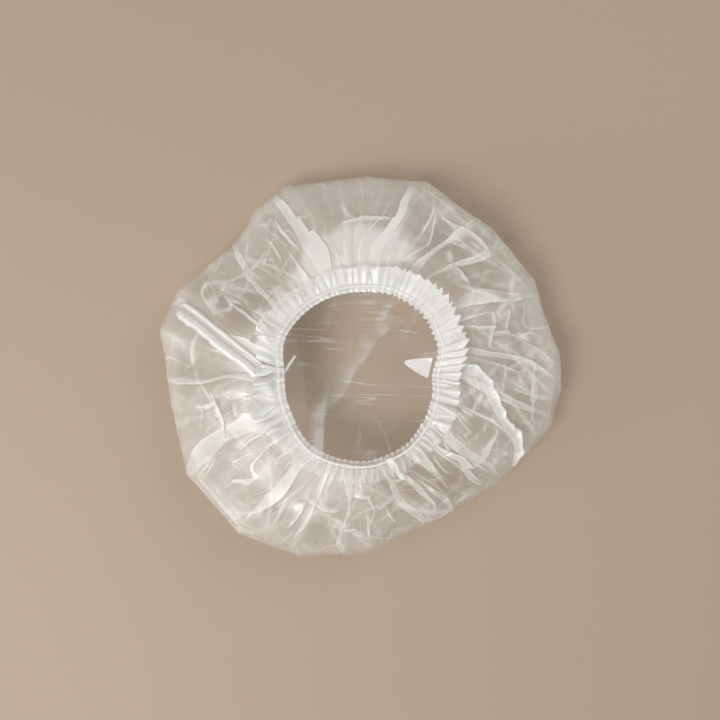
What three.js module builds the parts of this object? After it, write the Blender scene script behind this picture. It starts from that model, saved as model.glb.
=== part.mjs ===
// Disposable shower cap of thin film, lying crown down with its gathered opening up.
// Millimetres, +Z up. The origin is on the surface that the cap lies on, under the middle of its outline.
//
// A round of film is gathered at its edge onto an elastic. Its middle lies flat, its sides turn up and
// back over, and its edge is turned outwards over the elastic as a frilled hem. Two welded side seams
// run down from the hem, and their ends stand into the opening as small tabs.

import * as THREE from "three";

const WALL = 1; // film, built as a wall
const GAP = 0.35; // air kept between two pieces
const BAND_GAP = 0.7; // the same between two bands of film, along their slanting edge

const EQUATOR_HEIGHT = 17; // where the bag reaches furthest out
const RIM_HEIGHT = 57; // the crown's gathered edge
const RIM_CENTRE = { x: 0, y: -8 };
const FLOOR_SHARE = 0.89; // of the reach: how far out the crown lies flat
const TOP_FULLNESS = 0.85; // under 1 puffs the top out above a quarter ellipse

const CROWN_COLUMNS = 96; // four for each pleat
const FLOOR_RINGS = [0.45, FLOOR_SHARE]; // shares of the reach
const TURN_RINGS = [30, 60, 90]; // degrees round the turn from the floor up to the equator
const TOP_RINGS = [0.97, 0.89, 0.78, 0.65, 0.51, 0.37, 0.24, 0.13, 0.05, 0]; // 1 at the reach, 0 at the rim

// The one sheet of film as bands, each simple enough to be solid to the touch and hollow where it is
// hollow. Each runs between two of its rings, counted from the middle of the floor.
const CROWN_BANDS = [
  { name: "crown_floor", first: 0, last: 1 },
  { name: "crown_lower_side", first: 1, last: 4 },
  { name: "crown_upper_side", first: 4, last: 6 },
  { name: "crown_shoulder", first: 6, last: 9 },
  { name: "crown_top", first: 9, last: 14 },
];

const GATHERS = CROWN_COLUMNS / 4; // pleats of film that leave the elastic
const GATHER_DEPTH = 1.9; // half the height of a pleat
const GATHERS_FULL = 0.15; // of the way out: where the pleats are deepest
const GATHERS_END = 0.6; // of the way out: where they have faded
const FOLDS_START = 0.22; // of the way out: just past the hem
const FOLDS_FULL = 0.45;

const ELASTIC_RADIUS = 0.8;
const ELASTIC_INSET = 1.4; // from the crown's edge to the elastic's middle
const ELASTIC_COLUMNS = 48;
const ELASTIC_SIDES = 6;

const HEM_COLUMNS = 140; // two for each tooth of the frill
const HEM_LIP = 4; // the turned edge inside the elastic
const HEM_DROOP = 0.5; // how far the lip hangs below the hem over the elastic
const HEM_WIDTH = 17; // the frill outside the elastic
const HEM_TOOTH = 0.8; // how far a tooth stands out, and a notch in
const HEM_RUFFLE = 1.2; // how far the frill's free edge waves up and down

const SEAM_WIDTH = 7;
const SEAM_CLEARANCE = 0.5; // over the highest film under it
const SEAM_STATIONS = 22;
const SEAM_FROM = 0.29; // of the way out
const SEAM_TO = 0.93;

const TAB_TUCK = 0.35; // of its width: how far a tab's root stays inside the crown's edge
const TAB_TAPER = 0.1;

// The outline seen from above: film drawn straight between corners, by degrees round the origin.
const OUTLINE = [
  { angle: 4, reach: 145 },
  { angle: 16, reach: 138 },
  { angle: 26, reach: 141 },
  { angle: 47, reach: 138 },
  { angle: 59, reach: 136 },
  { angle: 70, reach: 142 },
  { angle: 88, reach: 138 },
  { angle: 113, reach: 142 },
  { angle: 124, reach: 136 },
  { angle: 138, reach: 127 },
  { angle: 157, reach: 144 },
  { angle: 170, reach: 148 },
  { angle: 191, reach: 140 },
  { angle: 212, reach: 149 },
  { angle: 234, reach: 150 },
  { angle: 252, reach: 144 },
  { angle: 272, reach: 136 },
  { angle: 301, reach: 124 },
  { angle: 320, reach: 132 },
  { angle: 342, reach: 145 },
  { angle: 353, reach: 146 },
];

// The elastic's line seen from above, by degrees round the rim's centre. The side seams draw it in.
const RIM = [
  { angle: 0, radius: 52 },
  { angle: 24, radius: 60 },
  { angle: 47, radius: 63 },
  { angle: 68, radius: 63 },
  { angle: 90, radius: 61 },
  { angle: 150, radius: 61 },
  { angle: 180, radius: 55 },
  { angle: 202, radius: 56 },
  { angle: 238, radius: 61 },
  { angle: 270, radius: 61 },
  { angle: 301, radius: 59 },
  { angle: 323, radius: 56 },
  { angle: 341, radius: 54 },
];

// How steeply the frilled hem stands, in degrees above level.
const HEM_STANDS = [
  { angle: 10, tilt: 26 },
  { angle: 40, tilt: 40 },
  { angle: 80, tilt: 22 },
  { angle: 180, tilt: 18 },
  { angle: 270, tilt: 12 },
];

// The side seams' ridges, and the other main folds, each from the rim out to the outline.
const SEAMS = {
  right: { rimAngle: 6, edgeAngle: 336, halfWidth: 11, height: 7 },
  left: { rimAngle: 174, edgeAngle: 160, halfWidth: 12, height: 9 },
};
const FOLDS = [
  SEAMS.right,
  SEAMS.left,
  { rimAngle: 18, edgeAngle: 355, halfWidth: 9, height: 5 },
  { rimAngle: 40, edgeAngle: 31, halfWidth: 11, height: 6 },
  { rimAngle: 62, edgeAngle: 60, halfWidth: 9, height: 5 },
  { rimAngle: 84, edgeAngle: 74, halfWidth: 11, height: 9 },
  { rimAngle: 107, edgeAngle: 114, halfWidth: 12, height: 10 },
  { rimAngle: 140, edgeAngle: 131, halfWidth: 10, height: 7 },
  { rimAngle: 195, edgeAngle: 196, halfWidth: 10, height: 5 },
  { rimAngle: 214, edgeAngle: 213, halfWidth: 12, height: 7 },
  { rimAngle: 244, edgeAngle: 238, halfWidth: 12, height: 7 },
  { rimAngle: 276, edgeAngle: 284, halfWidth: 11, height: 7 },
  { rimAngle: 304, edgeAngle: 308, halfWidth: 10, height: 6 },
];

// The tabs that end the seams: where round the rim each is rooted, where it points, and how its end droops.
const TABS = {
  right: { angle: 7, heading: 150, length: 16, width: 10, thickness: 1, droop: 2.5 },
  left: { angle: 175, heading: 57, length: 12, width: 1.4, thickness: 7, droop: -0.3 },
};

const { degToRad, euclideanModulo, lerp, smoothstep } = THREE.MathUtils;
const turnBetween = (from, to) => euclideanModulo(to - from + 180, 360) - 180; // the shorter way, in degrees
const range = (count) => Array.from({ length: count }, (_, i) => i);

// The two rows of a table on either side of an angle, with the turns from each of them to it.
function rowsRound(table, degrees) {
  const angle = euclideanModulo(degrees, 360);
  const last = table.findLastIndex((row) => row.angle <= angle);
  const from = table.at(last);
  const to = table[(last + 1) % table.length];
  return {
    from,
    to,
    past: euclideanModulo(angle - from.angle, 360),
    left: euclideanModulo(to.angle - angle, 360) || euclideanModulo(to.angle - from.angle, 360),
  };
}

// A column of a table, eased from row to row round the circle.
function eased(table, column, degrees) {
  const { from, to, past, left } = rowsRound(table, degrees);
  return lerp(from[column], to[column], smoothstep(past / (past + left), 0, 1));
}

// The outline's reach: where a ray from the origin meets the straight side between two corners.
function reachAt(degrees) {
  const { from, to, past, left } = rowsRound(OUTLINE, degrees);
  const across = from.reach * to.reach * Math.sin(degToRad(past + left));
  return across / (from.reach * Math.sin(degToRad(past)) + to.reach * Math.sin(degToRad(left)));
}

const rimAt = (degrees) => eased(RIM, "radius", degrees);

// A point that lies the share "out" of the way from the rim to the outline, along this angle.
function spreadPoint(degrees, out, shrink = 1) {
  const radius = lerp(rimAt(degrees), reachAt(degrees), out) * shrink;
  return new THREE.Vector3(
    RIM_CENTRE.x * (1 - out) + radius * Math.cos(degToRad(degrees)),
    RIM_CENTRE.y * (1 - out) + radius * Math.sin(degToRad(degrees)),
    0,
  );
}

// The height of the tallest fold at this place: a tent along a crest that swings from the rim to the edge.
function foldHeight(degrees, out) {
  const radius = lerp(rimAt(degrees), reachAt(degrees), out);
  const heights = FOLDS.map(({ rimAngle, edgeAngle, halfWidth, height }) => {
    const crest = rimAngle + turnBetween(rimAngle, edgeAngle) * out;
    const away = Math.abs(degToRad(turnBetween(crest, degrees))) * radius;
    return height * Math.max(0, 1 - away / halfWidth);
  });
  const fadeOut = 1 - 0.7 * smoothstep(out, 0.8, 1);
  return Math.max(...heights) * smoothstep(out, FOLDS_START, FOLDS_FULL) * fadeOut;
}

// The pleats leave the elastic flat, deepen, and fade into the sides.
function gatherHeight(degrees, out) {
  const depth = smoothstep(out, 0, GATHERS_FULL) * (1 - smoothstep(out, GATHERS_FULL, GATHERS_END));
  return GATHER_DEPTH * depth * Math.cos(GATHERS * degToRad(degrees));
}

// The crown's outer surface over its top: a full quarter ellipse from the equator up to the rim.
function topPoint(degrees, out) {
  const rise = Math.sin(Math.acos(out)) ** TOP_FULLNESS;
  const point = spreadPoint(degrees, out);
  point.z = lerp(EQUATOR_HEIGHT, RIM_HEIGHT, rise) + foldHeight(degrees, out) + gatherHeight(degrees, out);
  return point;
}

function turnPoint(degrees, turn) {
  const point = spreadPoint(degrees, 1, lerp(FLOOR_SHARE, 1, Math.sin(degToRad(turn))));
  point.z = EQUATOR_HEIGHT * (1 - Math.cos(degToRad(turn)));
  return point;
}

// A closed body through sections, which are loops of equally many points. An open run of sections gets
// a fan at each end, and a closed one joins its last section to its first.
function loft(sections, closed = false) {
  const around = sections[0].length;
  const points = sections.flat();
  const triangles = [];
  const corner = (s, p) => (s % sections.length) * around + (p % around);
  for (const s of range(closed ? sections.length : sections.length - 1))
    for (const p of range(around)) {
      triangles.push(corner(s, p), corner(s, p + 1), corner(s + 1, p + 1));
      triangles.push(corner(s, p), corner(s + 1, p + 1), corner(s + 1, p));
    }
  const fan = (s, order) => {
    const middle = points.push(middleOf(sections[s])) - 1;
    for (const p of range(around)) triangles.push(middle, ...order(corner(s, p), corner(s, p + 1)));
  };
  if (!closed) {
    fan(0, (a, b) => [b, a]);
    fan(sections.length - 1, (a, b) => [a, b]);
  }
  if (signedVolume(points, triangles) < 0) triangles.reverse();
  return new THREE.BufferGeometry().setFromPoints(points).setIndex(triangles);
}

const middleOf = (loop) =>
  loop.reduce((sum, point) => sum.add(point), new THREE.Vector3()).divideScalar(loop.length);

function signedVolume(points, triangles) {
  let six = 0;
  for (let t = 0; t < triangles.length; t += 3) {
    const [a, b, c] = triangles.slice(t, t + 3).map((i) => points[i]);
    six += a.dot(new THREE.Vector3().crossVectors(b, c));
  }
  return six / 6;
}

// The same rings, one wall's thickness further in. Each ring's points run round the bag.
function insideOf(rings) {
  return rings.map((ring, r) =>
    ring.map((point, c) => {
      const along = new THREE.Vector3().subVectors(
        rings[Math.min(r + 1, rings.length - 1)][c],
        rings[Math.max(r - 1, 0)][c],
      );
      const round = new THREE.Vector3().subVectors(
        ring[(c + 1) % ring.length],
        ring.at(c - 1),
      );
      return point.clone().addScaledVector(along.cross(round).normalize(), WALL);
    }),
  );
}

// The bag of film: rings from the middle of the floor out, up and over to the rim.
function crownRings() {
  const angles = range(CROWN_COLUMNS).map((c) => (360 * c) / CROWN_COLUMNS);
  return [
    ...FLOOR_RINGS.map((share) => angles.map((angle) => spreadPoint(angle, 1, share))),
    ...TURN_RINGS.map((turn) => angles.map((angle) => turnPoint(angle, turn))),
    ...TOP_RINGS.map((out) => angles.map((angle) => topPoint(angle, out))),
  ];
}

// A band of the bag's wall. Past the floor it is a closed ring, and starts a gap after the band before it.
function bandGeometry({ first, last }, outer, inner) {
  const isFloor = first === 0;
  const walls = [outer, inner].map((rings) => {
    const band = rings.slice(first, last + 1);
    if (!isFloor) band[0] = band[0].map((point, c) => stepTowards(point, band[1][c], BAND_GAP));
    return band;
  });
  return loft([...walls[0], ...walls[1].reverse()], !isFloor);
}

const stepTowards = (point, next, length) =>
  point.clone().addScaledVector(next.clone().sub(point).normalize(), length);

// A ring that follows the rim: the section's points are {offset, z}, outwards from the crown's edge.
function rimRing(columns, sectionAt) {
  const sections = range(columns).map((c) => {
    const angle = (360 * c) / columns;
    return sectionAt(angle, c).map(({ offset, z }) => {
      const radius = rimAt(angle) + offset;
      return new THREE.Vector3(
        RIM_CENTRE.x + radius * Math.cos(degToRad(angle)),
        RIM_CENTRE.y + radius * Math.sin(degToRad(angle)),
        z,
      );
    });
  });
  return loft(sections, true);
}

const ELASTIC_HEIGHT = RIM_HEIGHT + 2 * GAP + ELASTIC_RADIUS;
const HEM_HEIGHT = ELASTIC_HEIGHT + ELASTIC_RADIUS + GAP; // the hem's underside over the elastic

function elasticGeometry() {
  const section = range(ELASTIC_SIDES).map((side) => ({
    offset: ELASTIC_INSET + ELASTIC_RADIUS * Math.cos((2 * Math.PI * side) / ELASTIC_SIDES),
    z: ELASTIC_HEIGHT + ELASTIC_RADIUS * Math.sin((2 * Math.PI * side) / ELASTIC_SIDES),
  }));
  return rimRing(ELASTIC_COLUMNS, () => section);
}

// The hem: a lip inside the elastic, a flat over it, and a frill outside it whose edge is toothed.
function hemGeometry() {
  return rimRing(HEM_COLUMNS, (angle, column) => {
    const tooth = column % 2 ? -1 : 1;
    const edge = HEM_WIDTH + HEM_TOOTH * tooth;
    const stands = HEM_HEIGHT + edge * Math.tan(degToRad(eased(HEM_STANDS, "tilt", angle)));
    const under = [
      { offset: -HEM_LIP + (HEM_TOOTH / 2) * tooth, z: HEM_HEIGHT - HEM_DROOP },
      { offset: ELASTIC_INSET, z: HEM_HEIGHT },
      { offset: edge, z: stands + HEM_RUFFLE * tooth },
    ];
    const over = under.map(({ offset, z }) => ({ offset, z: z + WALL }));
    return [...under, ...over.reverse()];
  });
}

// A welded seam lies along its fold's crest, clear of the highest film under it.
function seamGeometry({ rimAngle, edgeAngle }, crownBands) {
  const down = new THREE.Raycaster();
  const filmHeight = (point) => {
    down.set(new THREE.Vector3(point.x, point.y, 2 * RIM_HEIGHT), new THREE.Vector3(0, 0, -1));
    return down.intersectObjects(crownBands)[0].point.z;
  };
  const crest = (out) => spreadPoint(rimAngle + turnBetween(rimAngle, edgeAngle) * out, out);
  const acrossAt = (out) => {
    const ahead = crest(out + 0.02).sub(crest(out)).normalize();
    const aside = new THREE.Vector3(-ahead.y, ahead.x, 0).multiplyScalar(SEAM_WIDTH / 2);
    return [-1, -0.5, 0, 0.5, 1].map((share) => crest(out).addScaledVector(aside, share));
  };
  const spacing = (SEAM_TO - SEAM_FROM) / (SEAM_STATIONS - 1);
  const sections = range(SEAM_STATIONS).map((station) => {
    const out = SEAM_FROM + spacing * station;
    const near = [-0.5, 0, 0.5].flatMap((share) => acrossAt(out + spacing * share));
    const height = Math.max(...near.map(filmHeight)) + SEAM_CLEARANCE;
    const [right, , , , left] = acrossAt(out);
    const under = [right.setZ(height), left.setZ(height)];
    return [...under, ...under.map((point) => point.clone().setZ(height + WALL)).reverse()];
  });
  return loft(sections);
}

// A seam's end: a flat strip of film from under the hem's lip into the opening.
function tabGeometry({ angle, heading, length, width, thickness, droop }) {
  const inset = rimAt(angle) - GAP - width * TAB_TUCK;
  const root = new THREE.Vector3(
    RIM_CENTRE.x + inset * Math.cos(degToRad(angle)),
    RIM_CENTRE.y + inset * Math.sin(degToRad(angle)),
    HEM_HEIGHT - HEM_DROOP - GAP,
  );
  const along = new THREE.Vector3(Math.cos(degToRad(heading)), Math.sin(degToRad(heading)), 0);
  const aside = new THREE.Vector3(-along.y, along.x, 0).multiplyScalar(width / 2);
  const sections = [0, 0.5, 1].map((share) => {
    const middle = root.clone().addScaledVector(along, length * share);
    middle.z -= droop * share ** 2;
    const narrowed = aside.clone().multiplyScalar(1 - TAB_TAPER * share);
    const over = [middle.clone().sub(narrowed), middle.clone().add(narrowed)];
    return [...over, ...over.map((point) => point.clone().setZ(point.z - thickness)).reverse()];
  });
  return loft(sections);
}

const film = new THREE.MeshStandardMaterial({
  color: 0xe9e7e2,
  roughness: 0.32,
  metalness: 0,
  transparent: true,
  opacity: 0.45,
  side: THREE.DoubleSide,
});
const gatheredFilm = film.clone();
gatheredFilm.opacity = 0.8;
const elasticThread = new THREE.MeshStandardMaterial({ color: 0xf3f2ee, roughness: 0.75, metalness: 0 });

function piece(name, geometry, material) {
  geometry.computeVertexNormals();
  const mesh = new THREE.Mesh(geometry, material);
  mesh.name = name;
  return mesh;
}

const cap = new THREE.Group();
const outer = crownRings();
const inner = insideOf(outer);
const crownBands = CROWN_BANDS.map((band) => piece(band.name, bandGeometry(band, outer, inner), film));
cap.add(...crownBands);
cap.add(piece("rim_elastic", elasticGeometry(), elasticThread));
cap.add(piece("frilled_hem", hemGeometry(), gatheredFilm));
for (const side of ["right", "left"]) {
  cap.add(piece(`side_seam_${side}`, seamGeometry(SEAMS[side], crownBands), gatheredFilm));
  cap.add(piece(`seam_tab_${side}`, tabGeometry(TABS[side]), gatheredFilm));
}

// The outline's middle goes over the origin.
const middle = new THREE.Box3().setFromObject(cap).getCenter(new THREE.Vector3());
cap.position.set(-middle.x, -middle.y, 0);

export default cap;
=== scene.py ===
"""Disposable shower cap of thin film, lying crown down with its gathered opening up.

The crown is one round of film: a bag whose top is laid in pleats that merge as they leave the elastic,
and which is then relaxed as a sheet that hardly stretches. The frilled hem, the elastic, the two welded
side seams and their tabs are surfaces over two parameters, set on the crown.
"""

import bmesh
import bpy
import numpy as np
from bpy.props import FloatProperty, FloatVectorProperty, IntProperty, PointerProperty
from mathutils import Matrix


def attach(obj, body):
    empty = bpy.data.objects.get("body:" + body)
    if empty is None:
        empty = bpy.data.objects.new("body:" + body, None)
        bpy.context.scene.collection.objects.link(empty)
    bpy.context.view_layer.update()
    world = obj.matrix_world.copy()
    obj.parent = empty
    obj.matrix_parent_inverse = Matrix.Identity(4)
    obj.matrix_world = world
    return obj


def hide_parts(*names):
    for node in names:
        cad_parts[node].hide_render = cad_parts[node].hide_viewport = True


bl_info = {
    "name": "Disposable Shower Cap",
    "version": (1, 0, 0),
    "blender": (4, 5, 0),
    "location": "View3D > Sidebar > Shower Cap",
    "description": "Builds a gathered film shower cap around its packed frame",
    "category": "Add Mesh",
}

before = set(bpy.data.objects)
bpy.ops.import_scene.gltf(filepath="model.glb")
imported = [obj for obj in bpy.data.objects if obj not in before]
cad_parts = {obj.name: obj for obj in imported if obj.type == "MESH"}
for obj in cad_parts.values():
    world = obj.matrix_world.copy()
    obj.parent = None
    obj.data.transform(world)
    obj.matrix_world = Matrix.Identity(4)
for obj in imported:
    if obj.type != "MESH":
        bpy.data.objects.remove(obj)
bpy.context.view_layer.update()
CROWN_BANDS = [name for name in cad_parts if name.startswith("crown_")]

MM = 0.001
TURN = 2 * np.pi


def table(columns, *rows):
    """A short table as one array for each named column."""
    return dict(zip(columns.split(), np.array(rows, float).T))


# The outline from above, in degrees and millimetres: film drawn straight from corner to corner.
OUTLINE = table(
    "angle reach",
    (4, 145),
    (16, 138),
    (26, 141),
    (47, 138),
    (59, 136),
    (70, 142),
    (88, 138),
    (113, 142),
    (124, 136),
    (138, 127),
    (157, 144),
    (170, 148),
    (191, 140),
    (212, 149),
    (234, 150),
    (252, 144),
    (272, 136),
    (301, 124),
    (320, 132),
    (342, 145),
    (353, 146),
)

# The elastic's line round the rim's middle: the side seams draw it in.
RIM = table(
    "angle radius",
    (0, 52),
    (24, 60),
    (47, 63),
    (68, 63),
    (90, 61),
    (150, 61),
    (180, 55),
    (202, 56),
    (238, 61),
    (270, 61),
    (301, 59),
    (323, 56),
    (341, 54),
)

# The main folds of the film, from the elastic out over the top: the angle of each at the rim and at the
# outline, its width near the hem, half way and near the outline, the way it is laid (1 or -1), how high it
# stands for its width, and how much it is whitened.
FOLDS = table(
    "rim edge inner middle outer lay lean white",
    (6, 334, 4, 8, 0, 1, 0.25, 0.2),
    (20, 352, 6, 2, 4, -1, 0.4, 0.2),
    (40, 22, 2, 10, 3, 1, 0.12, 0.3),
    (62, 50, 7, 3, 5, -1, 0.35, 0.2),
    (82, 71, 4, 10, 5, -1, 0.12, 0.6),
    (107, 117, 4, 12, 10, 1, 0.1, 0.75),
    (120, 124, 6, 2, 0, 1, 0.35, 0.2),
    (146, 136, 7, 2, 6, -1, 0.3, 0.15),
    (168, 158, 3, 9, 2, 1, 0.15, 0.2),
    (182, 184, 8, 2, 4, -1, 0.35, 0.2),
    (202, 211, 4, 16, 11, 1, 0.07, 0.1),
    (238, 229, 8, 7, 0, -1, 0.15, 0.2),
    (262, 266, 7, 1, 5, 1, 0.35, 0.1),
    (281, 294, 1, 7, 3, 1, 0.16, 0.12),
    (305, 310, 8, 4, 0, -1, 0.3, 0.15),
    (328, 320, 2, 8, 2, 1, 0.2, 0.15),
)

# On the way out from the rim to the outline: where a pleat's width is set, and where and by what share of
# its free turn it wanders.
WIDTH_STATIONS = np.linspace(0, 1, 9)
WANDER_STATIONS = np.array((0.0, 0.22, 0.45, 0.7, 1.0))
WANDER_SHARES = np.array((0.0, 0.6, 1.0, 1.0, 0.7))

# How crumpled the film is, by direction, where 0 is a smooth panel, and how much milkier than on the floor.
CRUMPLE = table(
    "angle crumpled milky",
    (0, 1.0, 0.06),
    (30, 0.7, 0.08),
    (60, 0.7, 0.05),
    (80, 0.1, 0.12),
    (110, 0.15, 0.12),
    (130, 0.6, 0.0),
    (150, 0.8, -0.06),
    (165, 0.9, 0.04),
    (190, 0.5, 0.08),
    (212, 0.15, 0.14),
    (235, 0.3, 0.1),
    (265, 0.6, 0.02),
    (300, 0.7, -0.07),
    (335, 0.9, -0.02),
)

# Folds that run round the bag: which of the TRACKS each is on, its middle and half its length in degrees,
# how far it slants inwards along its length in millimetres, its width, and the way it is laid.
TRACKS = (0.9, 0.74, 0.58, 0.43, 0.3)
TUCKS = table(
    "track angle span slant width lay",
    (2, 88, 15, -5, 3.5, 1),
    (1, 52, 14, 7, 4, 1),
    (0, 30, 11, 7, 3, -1),
    (3, 18, 10, -7, 4, 1),
    (1, 350, 12, 7, 4, -1),
    (2, 327, 12, 7, 5, 1),
    (0, 302, 16, -6, 4, 1),
    (3, 281, 9, 6, 3, -1),
    (3, 254, 10, -7, 4, 1),
    (0, 226, 16, 4, 5, 1),
    (2, 199, 15, 7, 4, -1),
    (1, 172, 11, -7, 3, 1),
    (4, 151, 9, 5, 3, 1),
    (1, 137, 12, -7, 4, -1),
)
STRAY_TUCKS = 7  # more on each track; the first track's have no width

# Milky bands in the film on the floor, in millimetres from the middle: two ends, half the width, how milky.
BANDS = table(
    "x y to_x to_y half milk",
    (-36, -80, -31, -26, 7, 1.0),
    (-32, -32, -25, -10, 4, 0.4),
    (-29, -30, 18, 36, 8, 0.4),
    (4, 20, 34, 62, 5, 0.24),
    (26, -54, 26, -14, 4, 0.1),
    (-1, -66, -3, -46, 2, 0.24),
    (21, -66, 12, -36, 2.5, 0.26),
    (-46, -40, -52, 20, 8, 0.14),
    (30, 18, 44, 52, 5, 0.14),
    (-30, 30, -14, 64, 6, 0.14),
)

# The frilled hem by direction: how steeply it stands in degrees, how deep its pleats are for their pitch,
# how far they stray from an even fan, how far its edge and its inner lip run out in points, how round its
# pleats are, how much it hides, how much of that it loses by its edge, and its width's share of the widest.
HEM_LOOKS = table(
    "angle tilt deep stray edge lip round cover fade wide",
    (0, 22, 0.95, 0.6, 0.8, 0.5, 0.6, 0.8, 0.1, 0.9),
    (12, 34, 1.35, 0.15, 1.5, 0.8, 0.1, 0.95, 0, 1),
    (48, 40, 1.35, 0.1, 1.4, 1.9, 0, 0.96, 0, 1),
    (64, 32, 1.0, 0.2, 0.8, 1.5, 0, 0.92, 0.1, 0.95),
    (84, 10, 0.2, 0.5, 0.2, 0.3, 0.3, 0.8, 0.45, 0.85),
    (120, 8, 0.2, 0.6, 0.2, 0.3, 0.4, 0.74, 0.6, 0.8),
    (150, 14, 0.6, 0.7, 0.3, 0.3, 0.6, 0.68, 0.4, 0.85),
    (170, 11, 1.2, 1.3, 0.9, 0.3, 1.0, 0.82, 0.0, 0.9),
    (184, 5, 1.6, 1.6, 1.2, 0.3, 1.0, 0.8, -0.3, 1.25),
    (206, 4, 1.6, 1.6, 1.2, 0.3, 1.0, 0.76, -0.3, 1.2),
    (226, 10, 0.7, 0.9, 0.4, 0.4, 0.8, 0.45, 0.45, 0.75),
    (262, 6, 0.5, 0.4, 0.15, 0.6, 0.6, 0.27, 0.45, 0.66),
    (300, 8, 0.6, 0.5, 0.3, 0.8, 0.6, 0.28, 0.45, 0.7),
    (326, 14, 1.1, 1.1, 0.7, 0.7, 1.0, 0.55, 0.2, 0.85),
    (345, 22, 1.5, 1.4, 0.9, 0.6, 1.0, 0.75, 0.1, 0.95),
)

# How far out from the hem the film is whitened by its gathers, as a share of the top, and how much.
WHITENED = table(
    "angle reach amount",
    (0, 0.3, 0.3),
    (40, 0.2, 0.2),
    (66, 0.4, 0.3),
    (76, 0.58, 0.75),
    (96, 0.72, 0.85),
    (112, 0.6, 0.8),
    (126, 0.3, 0.4),
    (165, 0.35, 0.4),
    (190, 0.4, 0.5),
    (215, 0.3, 0.3),
    (245, 0.4, 0.28),
    (270, 0.34, 0.12),
    (300, 0.28, 0.1),
    (330, 0.42, 0.35),
)

# Across the hem, from under the frill, round its edge, back over the elastic and round the inner lip: the
# offset outwards from the crown's edge and the rise in millimetres, and the shares of the pleats' depth
# and of the edge's teeth.
HEM_SECTION = table(
    "offset rise pleat tooth",
    (3.4, 0.1, 0.35, 0.0),
    (5.5, 0.1, 0.65, 0.0),
    (9.0, 0.1, 0.9, 0.0),
    (13.0, 0.2, 1.0, 0.3),
    (16.2, 0.2, 1.0, 0.9),
    (17.0, 0.5, 1.0, 1.0),
    (16.3, 0.9, 1.0, 0.9),
    (13.0, 0.9, 1.0, 0.3),
    (9.0, 0.8, 0.9, 0.0),
    (5.5, 0.7, 0.65, 0.0),
    (3.6, 0.6, 0.4, 0.0),
    (2.6, 0.6, 0.25, 0.0),
    (2.1, 0.9, 0.2, 0.0),
    (1.4, 1.15, 0.2, 0.0),
    (0.7, 0.9, 0.2, 0.0),
    (0.2, 0.6, 0.3, 0.0),
    (-1.2, 0.3, 0.5, -0.2),
    (-2.3, 0.1, 0.6, -0.6),
    (-2.7, -0.2, 0.6, -0.7),
    (-2.2, -0.4, 0.5, -0.5),
    (-1.0, -0.3, 0.3, 0.0),
)

# The side seams from above, from the hem outwards, and their sections: across and up in millimetres.
SEAM_RIGHT = table(
    "x y",
    (66, -1),
    (80, -5),
    (88, -12),
    (91, -22),
    (98, -34),
    (103, -43),
    (109, -50),
    (112, -61),
    (108, -72),
)
SEAM_LEFT = table("x y", (-66, -9), (-74, -1), (-86, 8), (-100, 19), (-114, 30), (-124, 37), (-130, 41))
SECTION_RIGHT = table(
    "across up",
    (-3.4, 0.0),
    (-2.9, 0.6),
    (-1.4, 0.7),
    (0.2, 1.1),
    (1.8, 2.2),
    (2.9, 2.7),
    (3.5, 2.0),
    (3.4, 0.8),
    (1.6, -0.2),
    (-1.2, -0.3),
)
SECTION_LEFT = table(
    "across up",
    (-6.6, 0.0),
    (-5.8, 1.9),
    (-4.8, 2.6),
    (-3.8, 1.8),
    (-2.4, 0.3),
    (-0.6, 0.5),
    (1.2, 3.6),
    (2.8, 5.0),
    (4.8, 4.4),
    (6.2, 1.6),
    (4.2, -0.2),
    (-2.2, -0.3),
)

# The seams' ends: where round the rim each is rooted and where it points, in degrees, its size and how far
# its tip drops in millimetres, how much its tip leans for its width, and the share that it narrows by.
TABS = table(
    "angle heading length width thick droop slant taper",
    (7, 166, 18, 14, 0.6, 1.0, 0.25, 0.85),
    (179, 57, 16, 2.0, 6.5, -0.3, 0, 0.2),
)

RIM_MIDDLE = np.array((0.0, -8.0)) * MM


def smoothstep(x, low, high):
    """From 0 at low to 1 at high, easing in and out; low may be the larger."""
    x = np.clip((x - low) / (high - low), 0, 1)
    return x * x * (3 - 2 * x)


def lerp(a, b, t):
    """From a to b as t goes from 0 to 1."""
    return a + (b - a) * t


def row_round(rows, angle):
    """The rows on either side of an angle in degrees, and the turns from and to them."""
    angle = angle % 360
    before = np.searchsorted(rows["angle"], angle, side="right") - 1
    after = (before + 1) % len(rows["angle"])
    past = (angle - rows["angle"][before]) % 360
    left = (rows["angle"][after] - angle) % 360
    return before, after, past, left


def eased(rows, column, phi):
    """A column of a table by direction, eased from row to row."""
    before, after, past, left = row_round(rows, np.degrees(phi))
    return lerp(rows[column][before], rows[column][after], smoothstep(past / (past + left), 0, 1))


def rim_radius(phi):
    """How far the elastic's line is from the rim's middle, in metres."""
    return MM * eased(RIM, "radius", phi)


def outline_reach(phi):
    """Where a ray meets the straight side between two corners, in metres."""
    before, after, past, left = row_round(OUTLINE, np.degrees(phi))
    a, b = OUTLINE["reach"][before], OUTLINE["reach"][after]
    past, left = np.radians(past), np.radians(left)
    return MM * a * b * np.sin(past + left) / (a * np.sin(past) + b * np.sin(left))


def outline_middle():
    """The middle of the outline's own box, which the row frame puts over the origin."""
    angle = np.radians(OUTLINE["angle"])
    corners = MM * OUTLINE["reach"] * np.array((np.cos(angle), np.sin(angle)))
    return (corners.min(1) + corners.max(1)) / 2


SHIFT = -outline_middle()


def bag_point(phi, out, shrink, height):
    """A point of the smooth bag: out runs from 0 at the rim to 1 at the outline, along one angle."""
    radius = lerp(rim_radius(phi), outline_reach(phi), out) * shrink
    x = RIM_MIDDLE[0] * (1 - out) + radius * np.cos(phi) + SHIFT[0]
    y = RIM_MIDDLE[1] * (1 - out) + radius * np.sin(phi) + SHIFT[1]
    return np.array(np.broadcast_arrays(x, y, height + 0 * radius))


# --- meshes -----------------------------------------------------------------------------------------

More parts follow.
